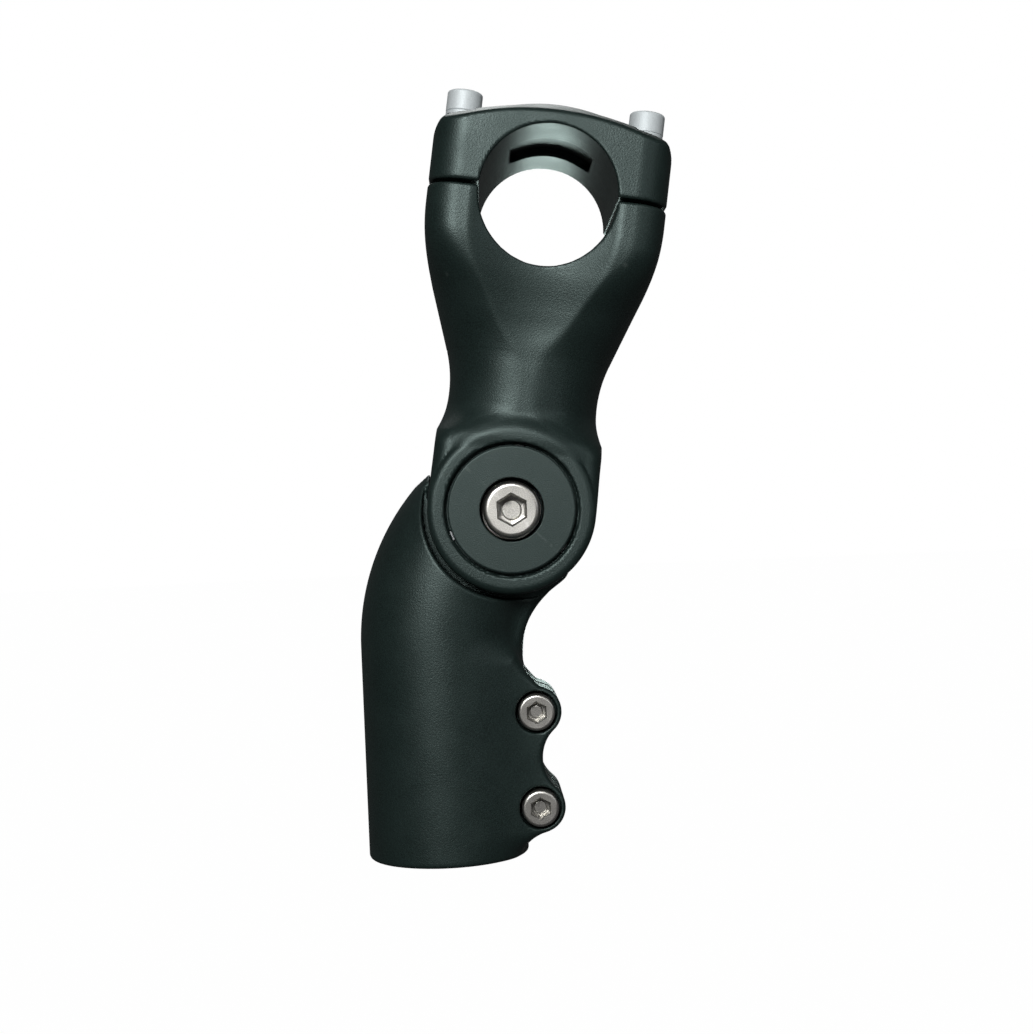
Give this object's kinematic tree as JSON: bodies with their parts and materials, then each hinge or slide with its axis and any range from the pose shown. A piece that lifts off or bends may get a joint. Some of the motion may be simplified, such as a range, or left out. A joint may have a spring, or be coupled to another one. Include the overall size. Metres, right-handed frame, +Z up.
{
  "type": "adjustable handlebar stem",
  "caption": "Threadless bicycle stem with a split steerer clamp, a toothed tilting arm and a bolted handlebar cap.",
  "frame": {"origin": "on the steerer axis, at the bottom face of the steerer clamp", "axes": "+Z up along the steerer, +X forward to the pinch bolts and the way the arm tilts, -Y the side with the bolt heads"},
  "size_m": [0.0783, 0.046, 0.1823],
  "materials": {
    "black_body": "satin black, fine powder grain",
    "black_disc": "matt black, grained",
    "stainless": "satin",
    "zinc_bolt": "matt",
    "hard_steel": "satin",
    "bronze": "satin",
    "nylon": "matt"
  },
  "bodies": {
    "steerer_body": {"steerer_clamp": "black_body", "tooth_ring_near": "hard_steel", "tooth_ring_far": "hard_steel", "ring_dowels_near": "hard_steel", "ring_dowels_far": "hard_steel", "pivot_bush": "bronze", "thrust_washer_near": "nylon", "thrust_washer_far": "nylon"},
    "arm": {"extension_arm": "black_body", "disc_keys_near": "hard_steel", "disc_keys_far": "hard_steel"},
    "near_disc": {"lock_disc_near": "black_disc", "pivot_washer": "stainless"},
    "far_disc": {"lock_disc_far": "black_disc", "release_spring": "hard_steel"},
    "pivot_screw": {"pivot_bolt": "stainless"},
    "cap": {"bar_clamp_cap": "black_body", "cap_washer_rear": "zinc_bolt", "cap_washer_front": "zinc_bolt"},
    "cap_screw_rear": {"cap_bolt_rear": "zinc_bolt"},
    "cap_screw_front": {"cap_bolt_front": "zinc_bolt"},
    "upper_pinch_washer": {"pinch_washer_upper": "stainless"},
    "upper_pinch_screw": {"pinch_bolt_upper": "stainless"},
    "lower_pinch_washer": {"pinch_washer_lower": "stainless"},
    "lower_pinch_screw": {"pinch_bolt_lower": "stainless"}
  },
  "joints": [
    {"name": "arm_tilt", "type": "hinge", "parent": "steerer_body", "child": "arm", "pos_m": [0.018, 0, 0.081], "axis": [0, 1, 0], "range_deg": [0, 81]},
    {"name": "near_disc_slide", "type": "slide", "parent": "arm", "child": "near_disc", "axis": [0, 1, 0], "range_m": [0, 0.0008], "deforming": ["release_spring"]},
    {"name": "far_disc_slide", "type": "slide", "parent": "arm", "child": "far_disc", "axis": [0, -1, 0], "range_m": [0, 0.0008]},
    {"name": "pivot_bolt_turn", "type": "hinge", "parent": "near_disc", "child": "pivot_screw", "pos_m": [0.018, 0, 0.081], "axis": [0, 1, 0], "range_deg": [0, 461]},
    {"name": "cap_lift", "type": "slide", "parent": "arm", "child": "cap", "axis": [0.1564, 0, 0.9877], "range_m": [0, 0.0144]},
    {"name": "cap_bolt_rear_turn", "type": "hinge", "parent": "cap", "child": "cap_screw_rear", "pos_m": [0.01077, 0, 0.1763], "axis": [0.1564, 0, 0.9877], "range_deg": [0, 6480]},
    {"name": "cap_bolt_front_turn", "type": "hinge", "parent": "cap", "child": "cap_screw_front", "pos_m": [0.05433, 0, 0.16941], "axis": [0.1564, 0, 0.9877], "range_deg": [0, 6480]},
    {"name": "upper_pinch_slide", "type": "slide", "parent": "steerer_body", "child": "upper_pinch_washer", "axis": [0, -1, 0], "range_m": [0, 0.0024]},
    {"name": "upper_pinch_turn", "type": "hinge", "parent": "upper_pinch_washer", "child": "upper_pinch_screw", "pos_m": [0.0218, 0, 0.0339], "axis": [0, -1, 0], "range_deg": [0, 1080]},
    {"name": "lower_pinch_slide", "type": "slide", "parent": "steerer_body", "child": "lower_pinch_washer", "axis": [0, -1, 0], "range_m": [0, 0.0024]},
    {"name": "lower_pinch_turn", "type": "hinge", "parent": "lower_pinch_washer", "child": "lower_pinch_screw", "pos_m": [0.0218, 0, 0.0117], "axis": [0, -1, 0], "range_deg": [0, 1080]}
  ],
  "couplings": [
    {"joint": "far_disc_slide", "follows": "near_disc_slide", "ratio": 1},
    {"joint": "pivot_bolt_turn", "follows": "near_disc_slide", "rad_per_m": 10053},
    {"joint": "cap_bolt_rear_turn", "follows": "cap_lift", "rad_per_m": 7853.9},
    {"joint": "cap_bolt_front_turn", "follows": "cap_lift", "rad_per_m": 7853.9},
    {"joint": "upper_pinch_turn", "follows": "upper_pinch_slide", "rad_per_m": 7853.9},
    {"joint": "lower_pinch_turn", "follows": "lower_pinch_slide", "rad_per_m": 7853.9}
  ]
}
